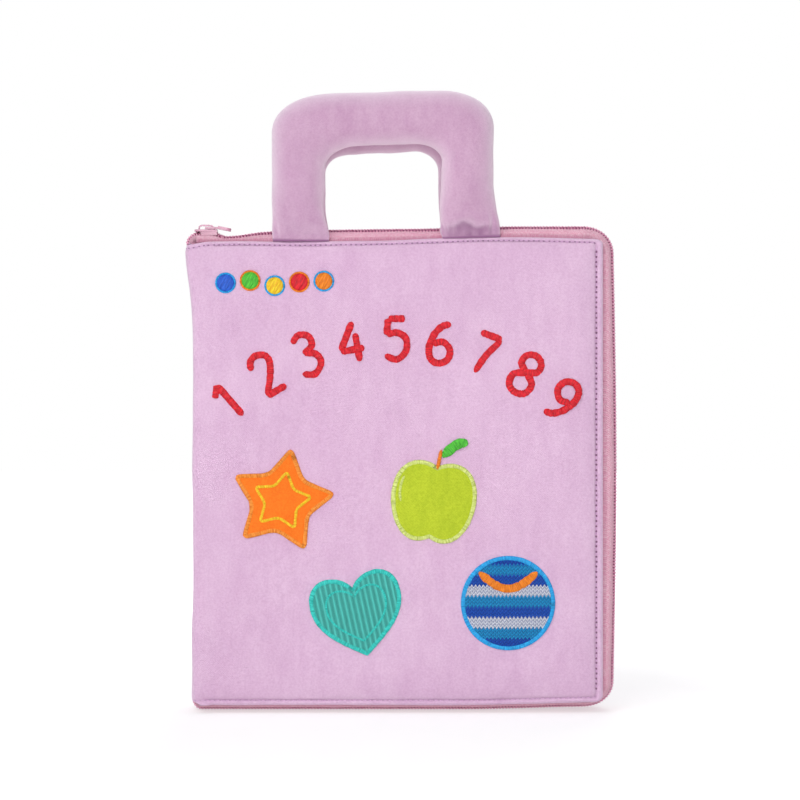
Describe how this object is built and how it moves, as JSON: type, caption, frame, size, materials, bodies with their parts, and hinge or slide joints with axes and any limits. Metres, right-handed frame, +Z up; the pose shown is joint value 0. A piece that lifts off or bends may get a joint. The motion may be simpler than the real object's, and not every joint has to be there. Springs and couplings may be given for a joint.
{
  "type": "cloth baby book",
  "caption": "Padded cloth book with fabric leaves, a pair of stuffed carrying handles and a zip round three edges; covers, leaves, handles and zip slider move.",
  "frame": {"origin": "middle of the standing book's bottom", "axes": "+Z up, the front cover faces -Y, the spine is at -X"},
  "size_m": [0.238, 0.0612, 0.3432],
  "materials": {
    "lilac_cloth": "matte",
    "lining_cloth": "matte",
    "page_cloth": "matte",
    "wadding": "matte",
    "zip_tape": "matte",
    "zip_coil": "matte",
    "painted_slider": "satin",
    "orange_cloth": "matte",
    "teal_corduroy": "matte",
    "lime_felt": "matte",
    "blue_knit": "matte"
  },
  "bodies": {
    "spine": {"spine_cloth": "lilac_cloth", "spine_padding": "wadding", "spine_lining": "lining_cloth", "page_binding": "lining_cloth", "zip_head_tape_front": "zip_tape", "zip_head_tape_back": "zip_tape", "zip_head_coil_front": "zip_coil", "zip_head_coil_back": "zip_coil", "zip_foot_tape_front": "zip_tape", "zip_foot_tape_back": "zip_tape", "zip_foot_coil_front": "zip_coil", "zip_foot_coil_back": "zip_coil"},
    "front_cover": {"front_cover_cloth": "lilac_cloth", "front_cover_padding": "wadding", "front_cover_lining": "lining_cloth", "front_zip_tape": "zip_tape", "front_zip_coil": "zip_coil", "star_patch": "orange_cloth", "heart_patch": "teal_corduroy", "apple_patch": "lime_felt", "ball_patch": "blue_knit"},
    "back_cover": {"back_cover_cloth": "lilac_cloth", "back_cover_padding": "wadding", "back_cover_lining": "lining_cloth", "back_zip_tape": "zip_tape", "back_zip_coil": "zip_coil"},
    "front_handle": {"front_handle_cloth": "lilac_cloth", "front_handle_stuffing": "wadding"},
    "rear_handle": {"rear_handle_cloth": "lilac_cloth", "rear_handle_stuffing": "wadding"},
    "zip_slider": {"slider_body": "painted_slider"},
    "pull_tab": {"pull_tab": "painted_slider"},
    "leaf_1": {"leaf_1_front_cloth": "page_cloth", "leaf_1_padding": "wadding", "leaf_1_back_cloth": "page_cloth"},
    "leaf_2": {"leaf_2_front_cloth": "page_cloth", "leaf_2_padding": "wadding", "leaf_2_back_cloth": "page_cloth"},
    "leaf_3": {"leaf_3_front_cloth": "page_cloth", "leaf_3_padding": "wadding", "leaf_3_back_cloth": "page_cloth"},
    "leaf_4": {"leaf_4_front_cloth": "page_cloth", "leaf_4_padding": "wadding", "leaf_4_back_cloth": "page_cloth"}
  },
  "joints": [
    {"name": "front_cover_fold", "type": "hinge", "parent": "spine", "child": "front_cover", "pos_m": [-0.1166, -0.0223, 0.13245], "axis": [0, 0, -1], "range_deg": [0, 180]},
    {"name": "back_cover_fold", "type": "hinge", "parent": "spine", "child": "back_cover", "pos_m": [-0.1166, 0.0223, 0.13245], "axis": [0, 0, 1], "range_deg": [0, 180]},
    {"name": "front_handle_tilt", "type": "hinge", "parent": "front_cover", "child": "front_handle", "pos_m": [-0.0106, -0.0196, 0.2615], "axis": [-1, 0, 0], "range_deg": [-110, 5]},
    {"name": "rear_handle_tilt", "type": "hinge", "parent": "back_cover", "child": "rear_handle", "pos_m": [-0.0106, 0.0196, 0.2615], "axis": [1, 0, 0], "range_deg": [-110, 5]},
    {"name": "zip_run", "type": "slide", "parent": "spine", "child": "zip_slider", "axis": [1, 0, 0], "range_m": [0, 0.19]},
    {"name": "pull_tab_swing", "type": "hinge", "parent": "zip_slider", "child": "pull_tab", "pos_m": [-0.1091, 0, 0.26875], "axis": [0, -1, 0], "range_deg": [0, 180]},
    {"name": "leaf_1_turn", "type": "hinge", "parent": "spine", "child": "leaf_1", "pos_m": [-0.10555, -0.0108, 0.13245], "axis": [0, 0, -1], "range_deg": [0, 104.4]},
    {"name": "leaf_2_turn", "type": "hinge", "parent": "spine", "child": "leaf_2", "pos_m": [-0.10555, -0.0036, 0.13245], "axis": [0, 0, -1], "range_deg": [0, 72]},
    {"name": "leaf_3_turn", "type": "hinge", "parent": "spine", "child": "leaf_3", "pos_m": [-0.10555, 0.0036, 0.13245], "axis": [0, 0, -1], "range_deg": [0, 46.8]},
    {"name": "leaf_4_turn", "type": "hinge", "parent": "spine", "child": "leaf_4", "pos_m": [-0.10555, 0.0108, 0.13245], "axis": [0, 0, -1], "range_deg": [0, 23.4]}
  ],
  "couplings": [
    {"joint": "leaf_1_turn", "follows": "front_cover_fold", "ratio": 0.58},
    {"joint": "leaf_2_turn", "follows": "front_cover_fold", "ratio": 0.4},
    {"joint": "leaf_3_turn", "follows": "front_cover_fold", "ratio": 0.26},
    {"joint": "leaf_4_turn", "follows": "front_cover_fold", "ratio": 0.13}
  ]
}
